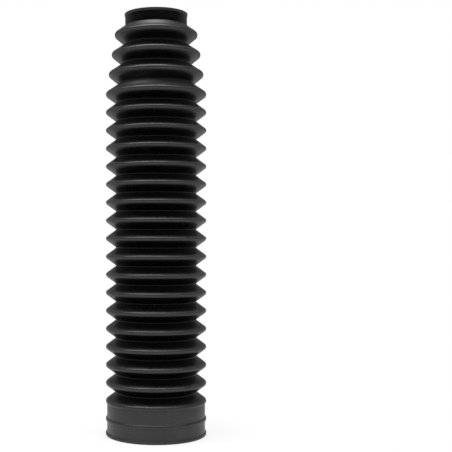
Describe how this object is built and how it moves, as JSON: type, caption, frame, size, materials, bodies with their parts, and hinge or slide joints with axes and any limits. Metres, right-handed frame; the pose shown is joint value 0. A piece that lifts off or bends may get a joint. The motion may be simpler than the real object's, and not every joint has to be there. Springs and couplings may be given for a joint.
{
  "type": "fork gaiter",
  "caption": "One-piece rubber bellows sleeve that keeps dirt off a motorcycle fork tube, with a narrow collar on top, a tapered neck and a wide beaded collar below.",
  "frame": {"origin": "centre of the bottom collar's flat bottom face", "axes": "+Z along the sleeve's axis, from the wide bottom collar to the narrow top collar"},
  "size_m": [0.066, 0.066, 0.2755],
  "materials": {
    "black_rubber": "moulded black rubber, satin, duller along the crests and darker in the folds"
  },
  "bodies": {
    "root": {"gaiter": "black_rubber"}
  },
  "joints": []
}
